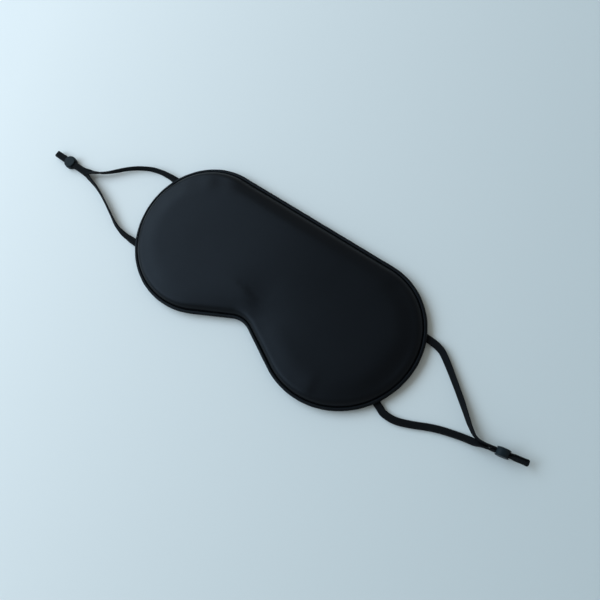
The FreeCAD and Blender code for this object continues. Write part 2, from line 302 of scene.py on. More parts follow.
@dataclass(frozen=True)
class KnittedElastic(Finish):
    """Knitted elastic: rows of small stitches that slant to both sides of each lengthwise rib.

    The slope is how far a stitch slants for its width. The heights are how much stitches and fibres count.
    """

    stitch: float = 0.75
    stitch_height: float = 0.3
    slope: float = 0.9
    rib: float = 0.76
    fibre: float = 0.25
    fibre_height: float = 0.5
    low: float = 0.25

    def texture(self, tree: Tree, place: Socket) -> Socket:
        """Lay chevrons along the band, whose points lie on the ribs.

        Args:
            tree: The tree that the nodes go into.
            place: The place, in millimetres: along the band, and across it.

        Returns:
            The texture's height.
        """
        parts = add_node(tree, "ShaderNodeSeparateXYZ", {0: place})
        slant = calc(tree, "PINGPONG", parts.outputs[1], self.rib / 2.0)
        along = calc(tree, "MULTIPLY_ADD", slant, self.slope, parts.outputs[0])
        fibres = noise(tree, place, self.fibre, 2.0)
        fibres = calc(tree, "MULTIPLY_ADD", fibres, self.fibre_height, self.low)
        return calc(tree, "MULTIPLY_ADD", wave(tree, along, self.stitch), self.stitch_height, fibres)


@dataclass(frozen=True)
class MouldedRubber(Finish):
    """Moulded silicone: the mould's fine spark-eroded grain, which breaks up its dull gloss."""

    grain: float = 0.35

    def texture(self, tree: Tree, place: Socket) -> Socket:
        """Return the mould's grain."""
        return noise(tree, place, self.grain, 4.0)


@dataclass(frozen=True)
class Fibres(Finish):
    """Loose or twisted fibres: threads that wander, as in thread, cotton cord or wadding."""

    width: float = 0.4
    lay: Place = (1.0, 1.0, 1.0)
    wander: float = 1.2

    def texture(self, tree: Tree, place: Socket) -> Socket:
        """Return fibres stretched along their lay."""
        stretched = add_node(tree, "ShaderNodeMapping", {"Vector": place, "Scale": self.lay}).outputs[0]
        return noise(tree, stretched, self.width, 4.0, distortion=self.wander)


@dataclass(frozen=True)
class PaintedBoard(Fibres):
    """Painted board: a fine tooth, and painted shade: a colour that darkens across it, away from the window's
    light.
    """

    # The direction in which painted shade darkens the board, standing in for the window light's falloff.
    painted_shade_towards: Place = (0.90, 0.30, 0.0)
    reach: float = 230.0

    def drift_share(self, tree: Tree, place: Socket) -> Socket:
        """Return how far the painted shade has darkened the board along its direction."""
        return ramp(tree, place, self.painted_shade_towards, -self.reach, self.reach)


@dataclass(frozen=True)
class OpenCellFoam(Finish):
    """Open-cell foam, cut from a block: round cells with thin, dull walls."""

    cell: float = 0.8

    def texture(self, tree: Tree, place: Socket) -> Socket:
        """Return cell walls round open cells."""
        return calc(tree, "SUBTRACT", 1.0, cells(tree, place, self.cell, feature="DISTANCE_TO_EDGE"))


@dataclass(frozen=True)
class PlainWeave(Finish):
    """Plain weave under a thin coating: a small square grid, half filled."""

    thread: float = 0.4

    def texture(self, tree: Tree, place: Socket) -> Socket:
        """Lay a square grid of threads.

        Args:
            tree: The tree that the nodes go into.
            place: The place, in millimetres.

        Returns:
            The texture's height.
        """
        parts = add_node(tree, "ShaderNodeSeparateXYZ", {0: place})
        waves = [wave(tree, parts.outputs[axis], self.thread) for axis in (0, 1)]
        return calc(tree, "MULTIPLY_ADD", calc(tree, "MULTIPLY", *waves), 0.5, 0.5)


# Woven polyester satin: near black, with a soft broad gloss from its floats.
FRONT_SATIN = Satin(
    "polyester_satin_woven", "#0a0c0f", "#090a0d", 0.4, relief=0.008, shade=0.15,
    specular=0.11, tint="#d8eaff",
)
# The same satin cut on the bias and pulled round a cord: a thin line of gloss along the bead.
TAPE_SATIN = Satin(
    "polyester_satin_bias_tape", "#08090c", "#06080a", 0.55, relief=0.02, turn=45.0, coordinates="UV",
    specular=0.11, tint="#d8eaff",
)
# Brushed polyester knit: dull, with a faint bloom where its fibres stand up.
SKIN_KNIT = BrushedKnit(
    "polyester_knit_brushed", "#12151a", "#0e1116", 0.85, relief=0.12, sheen=0.12, specular=0.15
)
# Knitted rubber and polyester elastic: dull black ribs with small stitches on them.
ELASTIC = KnittedElastic(
    "polyester_elastic_knitted", "#0d0f12", "#08090b", 0.75, relief=0.07, shade=0.4, coordinates="UV",
    specular=0.11, tint="#dce8f4",
)
# Moulded silicone rubber: dark slate, dull, with soft highlights on its round edges.
SILICONE = MouldedRubber(
    "silicone_rubber_moulded", "#1a2328", "#161e23", 0.42, relief=0.01, shade=0.1, ior=1.43, specular=0.06
)
# Spun polyester thread: black, a little glossier than the cloth it sinks into.
THREAD = Fibres("polyester_thread_spun", "#08090c", "#0c0e11", 0.6, relief=0.03, width=0.12, specular=0.15)
# Undyed cotton cord: dull and creamy, with a loose twist.
COTTON = Fibres("cotton_cord_twisted", "#d8d0bf", "#c9c0ad", 0.9, relief=0.06, width=0.3, lay=(1.0, 0.3, 1.0))
# Polyurethane foam, cut from a block: grey and full of small round cells.
FOAM = OpenCellFoam("polyurethane_foam_cut", "#5c5e62", "#4f5155", 0.95, relief=0.25, shade=0.6)
# Carded polyester wadding: white and fluffy, with fibres along the mask.
WADDING = Fibres(
    "polyester_wadding_carded", "#e6e6e4", "#d8d9d8", 0.95, relief=0.3, width=1.1, lay=(0.2, 1.0, 1.0)
)
# Coated polyester lining: black, with the weave half hidden under its coating.
LINING = PlainWeave("polyester_lining_coated", "#0d0e10", "#121316", 0.55, relief=0.03, thread=0.5)
# Painted board under the mask: pale blue grey, with a very fine tooth, and painted shade that darkens it away
# from the window.
BOARD = PaintedBoard("board_painted_matt", "#dde1e3", "#bec8cd", 0.85, relief=0.02, width=0.8, shade=0.02)


# ------------------------------------------------------------------------------------------- meshes


def add_object(name: str, data: bpy.types.ID) -> Piece:
    """Put a new object into the scene.

    Args:
        name: Its name.
        data: Its mesh, light or camera.

    Returns:
        The object, at the origin.
    """
    made = bpy.data.objects.new(name, data)
    bpy.context.scene.collection.objects.link(made)
    return made


def places(mesh: bpy.types.Mesh) -> Array:
    """Return a mesh's points, in millimetres."""
    return np.array([vertex.co for vertex in mesh.vertices]) / MM


def move_points(mesh: bpy.types.Mesh, points: Array) -> Array:
    """Move a mesh's points.

    Args:
        mesh: The mesh.
        points: Where its points go, in millimetres.

    Returns:
        Their normals there.
    """
    mesh.vertices.foreach_set("co", (points * MM).ravel())
    mesh.update()
    return np.array([vertex.normal for vertex in mesh.vertices])


def distances(line: Array) -> Array:
    """Return how far along a line each of its points is."""
    steps = np.linalg.norm(np.diff(line, axis=0), axis=1)
    return np.concatenate([[0.0], np.cumsum(steps)])


def eased(share: Array | float) -> Array | float:
    """Return a share from 0 to 1 that starts and ends gently."""
    return share * share * (3.0 - 2.0 * share)


def ring_faces(rows: int, count: int, closed: bool = False) -> list[list[int]]:
    """Return the faces between rings of points that follow each other.

    Args:
        rows: The number of rings.
        count: The number of points in each.
        closed: Whether the last ring joins the first.

    Returns:
        The points of each face, ring by ring.
    """
    faces = []
    for row in range(rows if closed else rows - 1):
        after = (row + 1) % rows
        for i in range(count):
            j = (i + 1) % count
            faces.append([row * count + i, row * count + j, after * count + j, after * count + i])
    return faces


def lidded_faces(rows: int, count: int, triangles: Sequence[Sequence[int]]) -> list[list[int]]:
    """Return the faces between rings of points, and the triangles that fill the last ring."""
    last = (rows - 1) * count
    return ring_faces(rows, count) + [[last + i for i in corners] for corners in triangles]


def make_piece(
    name: str,
    points: Array,
    faces: Sequence[Sequence[int]],
    uvs: Sequence | None = None,
    inside_out: bool = False,
) -> Piece:
    """Make a closed, smooth piece from points in millimetres.

    Args:
        name: The piece's name.
        points: Its points, one per row.
        faces: The points of each face.
        uvs: A pair in millimetres for each corner of each face, in order.
        inside_out: Whether its faces point inwards, as a bore's do.

    Returns:
        The piece, at the origin.
    """
    mesh = bpy.data.meshes.new(name)
    mesh.from_pydata((np.asarray(points) * MM).tolist(), [], [list(face) for face in faces])
    if uvs is not None:
        layer = mesh.uv_layers.new(name="along_and_across")
        layer.data.foreach_set("uv", (np.asarray(uvs, float) * MM).ravel())
    work = bmesh.new()
    work.from_mesh(mesh)
    bmesh.ops.recalc_face_normals(work, faces=work.faces)
    if inside_out:
        bmesh.ops.reverse_faces(work, faces=work.faces)
    work.to_mesh(mesh)
    work.free()
    mesh.shade_smooth()
    mesh.set_sharp_from_angle(angle=SHARP_EDGE)
    return add_object(name, mesh)


def make_shell(name: str, outer: Array, inner: Array, faces: list[list[int]], edge: int) -> Piece:
    """Make a closed piece from two sheets that have the same faces and meet round their edge.

    Args:
        name: The piece's name.
        outer: One sheet's points, which start with its edge.
        inner: The other sheet's points, in the same order.
        faces: The faces of one sheet.
        edge: The number of points round the edge.

    Returns:
        The piece.
    """
    total = len(outer)
    closed = faces + [[i + total for i in face[::-1]] for face in faces]
    closed += [[i, (i + 1) % edge, (i + 1) % edge + total, i + total] for i in range(edge)]
    return make_piece(name, np.vstack([outer, inner]), closed)


def tube(name: str, rings: Array, closed: bool, start: float = 0.0, inside_out: bool = False) -> Piece:
    """Skin a row of closed sections.

    Args:
        name: The piece's name.
        rings: The sections' points: section, point, coordinate.
        closed: Whether the last section joins the first. Otherwise both ends are capped.
        start: The distance along the pattern at which the first section lies.
        inside_out: Whether its faces point inwards.

    Returns:
        The piece, with its pattern laid along and round it.
    """
    rows, count = rings.shape[:2]
    middle = rings.mean(axis=1)
    along = start + distances(np.vstack([middle, middle[:1]]))
    around = distances(np.vstack([rings[0], rings[0][:1]]))
    faces = ring_faces(rows, count, closed)
    corners = ((0, 0), (0, 1), (1, 1), (1, 0))
    uvs = [
        (along[row + later], around[i + beyond])
        for row in range(len(faces) // count)
        for i in range(count)
        for later, beyond in corners
    ]
    if not closed:
        for row in (0, rows - 1):
            faces.append([row * count + i for i in range(count)])
            uvs += [(along[row], around[i]) for i in range(count)]
    return make_piece(name, rings.reshape(-1, 3), faces, uvs, inside_out)


def baked(piece: Piece, name: str) -> Piece:
    """Replace a piece that has modifiers by a plain mesh of what they make.

    Args:
        piece: The piece, which is removed.
        name: The name of the new one.

    Returns:
        The new piece, at the origin.
    """
    evaluated = piece.evaluated_get(bpy.context.evaluated_depsgraph_get())
    mesh = bpy.data.meshes.new_from_object(evaluated)
    bpy.data.objects.remove(piece)
    mesh.name = name
    return add_object(name, mesh)


def dress(piece: Piece, finish: Finish, slot: Slot, body: Body | None, *nodes: str) -> Piece:
    """Give a piece its material and its body.

    Args:
        piece: The finished piece.
        finish: What its surface is.
        slot: The record's slot for it. Not used.
        body: The body that it rides on, or None where it bends between two.
        nodes: The nodes that it stands for.

    Returns:
        The piece.
    """
    piece.data.materials.clear()
    piece.data.materials.append(finish.material())
    if body:
        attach(piece, body.value)
    if nodes:
        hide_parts(*nodes)
    logging.info("%s: %d faces, %s", piece.name, len(piece.data.polygons), finish.name)
    return piece


# ------------------------------------------------------------------------------------------ outline


@dataclass(frozen=True)
class Outline:
    """The mask's edge, out to its piping, as arcs joined by straight lines."""

    width: float = 205.0
    depth: float = 95.2
    widest_y: float = 2.4
    notch_depth: float = 18.6
    notch_radius: float = 14.3
    spacing: float = 1.3

    def arcs(self) -> list[tuple[Array, float, float, float, int]]:
        """Find the edge's arcs, counter-clockwise from the top.

        Returns:
            Each arc's centre, radius, start and sweep in degrees, and 1 if it bulges outwards or -1 if not.
        """
        half = self.depth / 2.0
        shoulder_radius, lobe_radius = half - self.widest_y, half + self.widest_y
        shoulder = np.array([self.width / 2.0 - shoulder_radius, self.widest_y])
        lobe = np.array([self.width / 2.0 - lobe_radius, self.widest_y])
        notch = np.array([0.0, self.notch_depth - half - self.notch_radius])
        mirror = np.array([-1.0, 1.0])
        between = notch - lobe
        opening = math.acos((lobe_radius + self.notch_radius) / np.linalg.norm(between))
        flank = math.degrees(math.atan2(between[1], between[0]) + opening)
        return [
            (shoulder * mirror, shoulder_radius, 90.0, 90.0, 1),
            (lobe * mirror, lobe_radius, 180.0, -flank, 1),
            (notch, self.notch_radius, -flank, 180.0 + 2.0 * flank, -1),
            (lobe, lobe_radius, flank, -flank, 1),
            (shoulder, shoulder_radius, 0.0, 90.0, 1),
        ]

    def samples(self) -> tuple[Array, Array]:
        """Set points along the edge, counter-clockwise.

        Returns:
            The points, and the direction inwards at each.
        """
        points, inwards, arcs = [], [], self.arcs()
        for index, (centre, radius, start, sweep, outward) in enumerate(arcs):
            count = math.ceil(abs(math.radians(sweep)) * radius / self.spacing)
            for i in range(count + 1):
                angle = math.radians(start + sweep * i / count)
                radial = np.array([math.cos(angle), math.sin(angle)])
                points.append(centre + radial * radius)
                inwards.append(radial * -outward)
            following = arcs[(index + 1) % len(arcs)]
            turn = math.radians(following[2])
            target = following[0] + np.array([math.cos(turn), math.sin(turn)]) * following[1]
            gap = target - points[-1]
            steps = math.ceil(np.linalg.norm(gap) / self.spacing)
            if steps <= 1:
                points.pop()
                inwards.pop()
                continue
            here = points[-1]
            for i in range(1, steps):
                points.append(here + gap * i / steps)
                inwards.append(inwards[-1])
        return np.array(points), np.array(inwards)

    def ring(self, inset: float, level: float) -> Array:
        """Move the edge inwards, and lift it.

        Args:
            inset: How far inwards it goes.
            level: Its height above the mask's back.

        Returns:
            Its points there.
        """
        points, inwards = self.samples()
        moved = points + inwards * inset
        return np.column_stack([moved, np.full(len(moved), level)])

    def lengths(self) -> Array:
        """Return how far along the edge each of its points is."""
        return distances(self.samples()[0])

    def whole_length(self) -> float:
        """Return the length of the whole edge."""
        return self.lengths()[-1] + self.spacing

    def side_x(self, y: float) -> float:
        """Measure how far out the round side reaches.

        Args:
            y: The Y at which it is measured.

        Returns:
            Its distance from the mask's middle line.
        """
        half = self.depth / 2.0
        radius = half - self.widest_y if y > self.widest_y else half + self.widest_y
        return self.width / 2.0 - radius + math.sqrt(radius**2 - (y - self.widest_y) ** 2)


def fill(loop: Array, spacing: float, margin: float = 0.6) -> tuple[Array, list[list[int]]]:
    """Fill a flat loop with even triangles.

    Args:
        loop: The loop's points, counter-clockwise.
        spacing: How far apart the points inside it are.
        margin: How near they come to the loop, as a share of their spacing.

    Returns:
        The points inside, and the triangles, whose numbers count the loop's points first.
    """
    low, high = loop[:, :2].min(axis=0), loop[:, :2].max(axis=0)
    row_step = spacing * math.sqrt(3.0) / 2.0
    inside = []
    for row, y in enumerate(np.arange(low[1] + row_step / 2.0, high[1], row_step)):
        shift = spacing / 2.0 if row % 2 else 0.0
        for x in np.arange(low[0] + shift, high[0], spacing):
            place = np.array([x, y])
            if np.linalg.norm(loop[:, :2] - place, axis=1).min() < spacing * margin:
                continue
            before, after = loop[:, :2], np.roll(loop[:, :2], -1, axis=0)
            crossing = (before[:, 1] > y) != (after[:, 1] > y)
            run = after[crossing] - before[crossing]
            at = before[crossing][:, 0] + (y - before[crossing][:, 1]) * run[:, 0] / run[:, 1]
            if np.count_nonzero(at > x) % 2:
                inside.append(place)
    spots = [Vector(point[:2]) for point in loop] + [Vector(point) for point in inside]
    made = geometry.delaunay_2d_cdt(spots, [], [list(range(len(loop)))], 1, 1e-6)
    triangles = []
    for face in made[2]:
        corners = [made[3][i][0] for i in face]
        a, b, c = (spots[i] for i in corners)
        area = (b - a).cross(c - a)
        triangles.append(corners if area > 0.0 else corners[::-1])
    return np.array(inside), triangles


def slab(name: str, outline: Outline, profile: Sequence[tuple[float, float]], spacing: float = 3.0) -> Piece:
    """Make a closed slab of the mask's shape.

    Args:
        name: The piece's name.
        outline: The mask's edge.
        profile: The side's inset and level, from the bottom to the top, where the flat faces start.
        spacing: How far apart the points on its flat faces are.

    Returns:
        The slab.
    """
    rings = [outline.ring(inset, level) for inset, level in profile]
    count = len(rings[0])
    points = [*rings]
    faces = ring_faces(len(rings), count)
    total = count * len(rings)
    for row in (0, len(rings) - 1):
        inside, triangles = fill(rings[row], spacing)
        points.append(np.column_stack([inside, np.full(len(inside), profile[row][1])]))
        for corners in triangles:
            faces.append([row * count + i if i < count else total + i - count for i in corners])
        total += len(inside)
    return make_piece(name, np.vstack(points), faces)


# -------------------------------------------------------------------------------------- padded body


@dataclass(frozen=True)
class Swell:
    """A short cloth simulation that lets a sheet fill out while its seam is held."""

    pressure: float = 4.0
    mass: float = 0.3
    stiffness: float = 20.0
    bending: float = 0.5
    quality: int = 5
    frames: int = 20
    cap: float = 0.9
    rounds: int = 40

    def evened(self, shift: Array, sheet: Piece, held: Sequence[int]) -> Array:
        """Take the small wrinkles out of the moves, as the fabric's own stiffness would.

        Args:
            shift: How far each point moves.
            sheet: The sheet.
            held: The points that the seam holds.

        Returns:
            The evened moves.
        """
        edges = np.array([edge.vertices[:] for edge in sheet.data.edges])
        point, neighbour = np.vstack([edges, edges[:, ::-1]]).T
        count = np.bincount(point, minlength=len(shift))[:, None]
        for _ in range(self.rounds):
            total = np.zeros_like(shift)
            np.add.at(total, point, shift[neighbour])
            shift = 0.5 * shift + 0.5 * total / count
            shift[list(held)] = 0.0
        return shift

    def run(self, sheet: Piece, held: Sequence[int]) -> Array:
        """Fill the sheet out.

        Args:
            sheet: The sheet, which is left as it was.
            held: The points that the seam holds.

        Returns:
            Where its points go, in millimetres.
        """
        rest = places(sheet.data)
        group = sheet.vertex_groups.new(name="held_by_the_seam")
        group.add(list(held), 1.0, "REPLACE")
        cloth = sheet.modifiers.new("swell", "CLOTH")
        settings = cloth.settings
        settings.quality = self.quality
        settings.mass = self.mass
        settings.tension_stiffness = settings.compression_stiffness = self.stiffness
        settings.shear_stiffness = self.stiffness / 2.0
        settings.bending_stiffness = self.bending
        settings.vertex_group_mass = group.name
        settings.effector_weights.gravity = 0.0
        settings.use_pressure = True
        settings.uniform_pressure_force = self.pressure
        cloth.point_cache.frame_start, cloth.point_cache.frame_end = 1, self.frames
        scene = bpy.context.scene
        for step in range(1, self.frames + 1):
            scene.frame_set(step)
        evaluated = sheet.evaluated_get(bpy.context.evaluated_depsgraph_get())
        moved = places(evaluated.data)
        sheet.modifiers.remove(cloth)
        scene.frame_set(1)
        shift = self.evened(moved - rest, sheet, held)
        size = np.linalg.norm(shift, axis=1, keepdims=True)
        capped = self.cap * np.tanh(size / self.cap)
        return rest + shift * capped / np.maximum(size, 1e-9)


@dataclass(frozen=True)
class Cover:
    """A crowned cover whose edge is turned in along the seam, beside the piping.

    It starts level at the seam and swells by its height, upwards or downwards, over the crown's width. Where
    it has a wall, it first climbs straight beside the piping, and leans out over it by a share of the climb.
    """

    outline: Outline
    base: float
    height: float
    crown: float
    edge: float = 2.5
    allowance: float = 5.0
    fabric: float = 0.35
    steps: int = 17
    side_steps: int = 4
    roll: float = 0.25
    fold: float = 0.4
    spacing: float = 2.2
    wall: float = 0.0
    overhang: float = 0.18
    shoulder: float = 4.6
    firmness: float = 0.7
    doming: float = 0.1
    freedom: float = 1.6
    pucker: float = 0.02
    pucker_pitch: float = 7.3
    pucker_reach: float = 4.0
    pucker_waves: tuple[float, ...] = (1.0, 1.55, 0.63)

    @property
    def facing(self) -> int:
        """Return 1 for a cover that swells upwards and -1 for one that swells downwards."""
        return 1 if self.height > 0.0 else -1

    def rise(self, share: float) -> float:
        """Return how much of its height the cover has gained at a share of the crown's width.

        A firm filling gives it a tight shoulder beside the piping, and then a long, gentle rise.

        Args:
            share: The place, from 0 at the edge to 1 where the cover is level.

        Returns:
            The share of the height.
        """
        near = min(share * self.crown / self.shoulder, 1.0)
        shoulder = (1.0 - (1.0 - near) ** 3.0) ** self.firmness
        dome = 1.0 - (1.0 - share) ** 2.0
        return (1.0 - self.doming) * shoulder + self.doming * dome

    def profile(self) -> tuple[list[tuple[float, float]], int]:
        """Draw the cover's side, from the allowance's edge to the crown.

        Returns:
            Its insets and levels, and the seam's place in them.
        """
        inner, side = self.edge + self.allowance, self.side_steps
        turned = [(inner - (self.allowance - self.roll) * i / side, self.base) for i in range(side)]
        fold, out = self.roll * self.fold, self.overhang * self.wall
        turned.append((self.edge + fold, self.base))
        outer = []
        for i in range(side if self.wall else 0):
            outer.append((self.edge - out * (i / side) ** 3, self.base + fold + self.wall * i / side))
        foot, height = self.base + self.wall, self.height - self.wall
        for i in range(self.steps + 1):
            share = (i / self.steps) ** 1.5
            inset = self.edge - out * (1.0 - share) ** 8
            outer.append((inset + self.crown * share, foot + height * self.rise(share)))
        outer[0] = (self.edge, self.base + self.facing * fold)
        return turned + outer, len(turned)

    def sheet(self, name: str) -> tuple[Piece, list[list[int]], int, int]:
        """Make the cover's outer face as an open sheet.

        Args:
            name: The sheet's name.

        Returns:
            The sheet, its faces, the number of points in a ring, and the seam's ring.
        """
        profile, seam = self.profile()
        rings = [self.outline.ring(inset, level) for inset, level in profile]
        count = len(rings[0])
        inside, triangles = fill(rings[-1], self.spacing)
        points = np.vstack([*rings, np.column_stack([inside, np.full(len(inside), profile[-1][1])])])
        faces = lidded_faces(len(rings), count, triangles)
        if self.facing < 0:
            faces = [face[::-1] for face in faces]
        mesh = bpy.data.meshes.new(name)
        mesh.from_pydata((points * MM).tolist(), [], faces)
        return add_object(name, mesh), faces, count, seam

    def puckers(self, points: Array, count: int, seam: int) -> Array:
        """Pull the cover in and out in soft waves beside the seam, as its stitches do.

        Args:
            points: The cover's points.
            count: The number of points in a ring.
            seam: The seam's ring.

        Returns:
            How far each point is pulled, along its normal.
        """
        pulls = np.zeros(len(points))
        turns = math.tau * self.outline.lengths() / self.outline.whole_length()
        waves = np.zeros(count)
        for scale in self.pucker_waves:
            cycles = round(self.outline.whole_length() / (self.pucker_pitch * scale))
            waves += np.sin(cycles * turns + scale * 2.1) / len(self.pucker_waves)
        profile = self.profile()[0]
        for row in range(seam, len(profile)):
            near = math.exp(-((profile[row][0] - self.edge) / self.pucker_reach) ** 2)
            rising = min(1.0, (row - seam) / 3.0)
            pulls[row * count : (row + 1) * count] = self.pucker * waves * near * rising
        return pulls

    def build(self, name: str, swell: Swell | None, shape: Shaper) -> tuple[Piece, Array]:
        """Make the cover.

        Args:
            name: The piece's name.
            swell: The simulation that fills it out, if there is one.
            shape: Moves its points, given with how freely each may move, from 0 at the seam to 1.

        Returns:
            The piece, and its outer face's points.
        """
        sheet, faces, count, seam = self.sheet(name + "_sheet")
        held = range((seam + 1) * count)
        points = swell.run(sheet, held) if swell else places(sheet.data)
        points = points + move_points(sheet.data, points) * self.puckers(points, count, seam)[:, None]
        free = np.ones(len(points))
        for row, (inset, _) in enumerate(self.profile()[0]):
            share = 0.0 if row <= seam else min(1.0, (inset - self.edge) / self.crown * self.freedom)
            free[row * count : (row + 1) * count] = eased(share)
        points = shape(points, free)
        inner = points - move_points(sheet.data, points) * self.fabric
        bpy.data.objects.remove(sheet)
        return make_shell(name, points, inner, faces, count), points


@dataclass(frozen=True)
class Crease:
    """A soft valley that fades from its start to its end, or a ridge where its depth is negative.

    Its two sides can have different widths. Left is as seen along it, from its start.
    """

    start: tuple[float, float]
    end: tuple[float, float]
    depth: float
    width: float
    left_width: float

    def press(self, points: Array) -> Array:
        """Press the crease in.

        Args:
            points: The points of a cover.

        Returns:
            How far each is pressed down.
        """
        start, end = np.array(self.start), np.array(self.end)
        run = end - start
        offset = points[:, :2] - start
        share = np.clip(offset @ run / (run @ run), 0.0, 1.0)
        away = np.linalg.norm(offset - share[:, None] * run, axis=1)
        on_left = run[0] * offset[:, 1] - run[1] * offset[:, 0] > 0.0
        width = np.where(on_left, self.left_width, self.width)
        return self.depth * np.exp(-((away / width) ** 2)) * (1.0 - share) ** 1.5


@dataclass(frozen=True)
class MaskBody:
    """The padded body: two covers, the filling between them, and the piping round them."""

    outline: Outline = Outline()
    seam_bottom: float = 2.4
    seam_top: float = 3.0
    seam_gap: float = 0.02
    front_height: float = 5.2
    front_crown: float = 16.0
    front_wall: float = 1.5
    back_crown: float = 7.0
    filling_inset: float = 9.8
    skin_top: float = 0.8
    foam_top: float = 4.8
    lining_top: float = 5.2
    wadding_gap: float = 0.9
    wadding_start: float = 2.0
    wadding_lift: float = 0.05
    elastic_seats: tuple[Place, ...] = (
        (-101.0, 22.5, 0.0),
        (-101.0, -26.0, 0.0),
        (101.0, 22.7, 0.06),
        (101.0, -25.6, 0.42),
    )
    elastic_dent: float = 0.43
    dent_reach: float = 5.2
    dent_slope: float = 2.4
    nose_ridge: float = 0.5
    nose_ridge_width: float = 34.0
    creases: tuple[Crease, ...] = (
        Crease((4.5, -27.0), (16.0, -12.0), 0.3, 3.4, 3.0),
        Crease((6.0, -13.5), (72.0, -22.0), 0.75, 8.5, 16.0),
        Crease((60.5, -45.0), (57.0, -24.0), -0.6, 3.6, 7.0),
        Crease((14.0, -27.0), (50.0, -50.0), 0.8, 13.0, 13.0),
        Crease((98.0, -34.0), (107.0, 190.0), 1.9, 9.0, 9.0),
    )

    def shape_front(self, points: Array, free: Array) -> Array:
        """Arch the front over the nose, and press its valleys and ridges in.

        Args:
            points: The front's points.
            free: How freely each point may move.

        Returns:
            The moved points.
        """
        moved = points.copy()
        ridge = self.nose_ridge * np.exp(-((points[:, 0] / self.nose_ridge_width) ** 2))
        moved[:, 2] += ridge * free
        for crease in self.creases:
            moved[:, 2] -= crease.press(points) * np.sqrt(free)
        return moved

    def shape_back(self, points: Array, free: Array) -> Array:
        """Press the back down where the elastic's ends lie in the seam.

        Args:
            points: The back's points.
            free: How freely each point may move.

        Returns:
            The moved points.
        """
        moved = points.copy()
        moved[:, 2] = np.maximum(moved[:, 2], 0.0)
        for x, y, slant in self.elastic_seats:
            beside = np.abs(points[:, 1] - y - slant * np.abs(points[:, 0] - x))
            near = eased(np.clip((self.dent_reach - beside) / self.dent_slope, 0.0, 1.0))
            near[np.abs(points[:, 0] - x) > self.outline.width / 4.0] = 0.0
            moved[:, 2] *= 1.0 - near * (1.0 - self.elastic_dent)
        return moved

    def covers(self) -> None:
        """Make the satin front, the skin-side back, and the wadding that fits under the front."""
        base, height = self.seam_top + self.seam_gap, self.front_height - self.seam_gap
        front = Cover(self.outline, base, height, self.front_crown, wall=self.front_wall)
        piece, points = front.build("front_cover", Swell(), self.shape_front)
        dress(piece, FRONT_SATIN, Slot.SATIN, Body.MASK, "front_panel")
        self.wadding(front, points)
        base = self.seam_bottom - self.seam_gap
        back = Cover(self.outline, base, -base, self.back_crown, spacing=3.0)
        piece, _ = back.build("back_cover", None, self.shape_back)
        dress(piece, SKIN_KNIT, Slot.SKIN, Body.MASK, "back_panel")

    def wadding(self, front: Cover, outer: Array) -> None:
        """Make the wadding, which fills the space under the front.

        Args:
            front: The front cover.
            outer: The points of its outer face.
        """
        profile = front.profile()[0]
        count = len(self.outline.samples()[0])
        start = self.lining_top + self.wadding_start
        first = next(row for row, (_, level) in enumerate(profile) if level > start)
        top = outer[first * count :].copy()
        bottom = top.copy()
        top[:, 2] = np.maximum(top[:, 2] - self.wadding_gap, self.lining_top + 2.0 * self.wadding_lift)
        bottom[:, 2] = self.lining_top + self.wadding_lift
        _, triangles = fill(self.outline.ring(profile[-1][0], 0.0), front.spacing)
        faces = lidded_faces(len(profile) - first, count, triangles)
        piece = make_shell("wadding", top, bottom, faces, count)
        dress(piece, WADDING, Slot.WADDING, Body.MASK, "front_wadding")

    def filling(self) -> None:
        """Make the foam with its soft cut edge, and the lining that lies on it."""
        inset, low, high = self.filling_inset, self.skin_top, self.foam_top
        sides = ((0.6, 0.02), (0.15, 0.4), (0.0, 2.0), (0.15, 3.6), (0.6, 3.96))
        foam = slab("foam_sheet", self.outline, [(inset + back, low + up) for back, up in sides])
        dress(foam, FOAM, Slot.FOAM, Body.MASK, "foam_pad")
        lining = slab("lining_sheet", self.outline, [(inset, high + 0.02), (inset, self.lining_top - 0.02)])
        dress(lining, LINING, Slot.LINING, Body.MASK, "blackout_lining")
        edge = self.outline.ring(inset, 0.0)[:, :2] * MM


